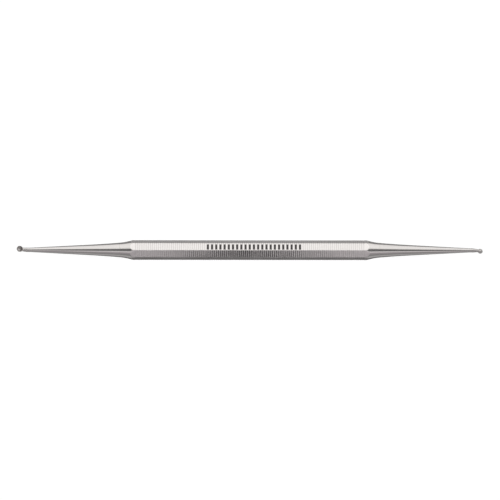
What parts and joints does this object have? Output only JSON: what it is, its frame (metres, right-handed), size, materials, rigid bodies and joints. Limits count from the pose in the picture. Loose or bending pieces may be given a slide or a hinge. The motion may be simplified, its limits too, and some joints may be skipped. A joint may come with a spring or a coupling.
{
  "type": "double-ended curette",
  "caption": "Slim double-ended hand curette: a serrated octagonal handle, long tapering shanks, and a tiny round cup at each end.",
  "frame": {"origin": "middle of the handle, on its axis", "axes": "+X along the handle's axis towards the small cup; +Z out of the flat that carries the etched bars, the side the large cup opens to"},
  "size_m": [0.145, 0.0058, 0.0058],
  "materials": {
    "handle_steel": "satin stainless steel, fine serrations across every flat, a row of plain etched bars on one flat",
    "working_end_steel": "polished stainless steel with fine turning lines",
    "brazing_alloy": "pale silver brazing alloy, polished flush"
  },
  "bodies": {
    "root": {"handle": "handle_steel", "large_working_end": "working_end_steel", "small_working_end": "working_end_steel", "large_end_braze_ring": "brazing_alloy", "small_end_braze_ring": "brazing_alloy"}
  },
  "joints": []
}
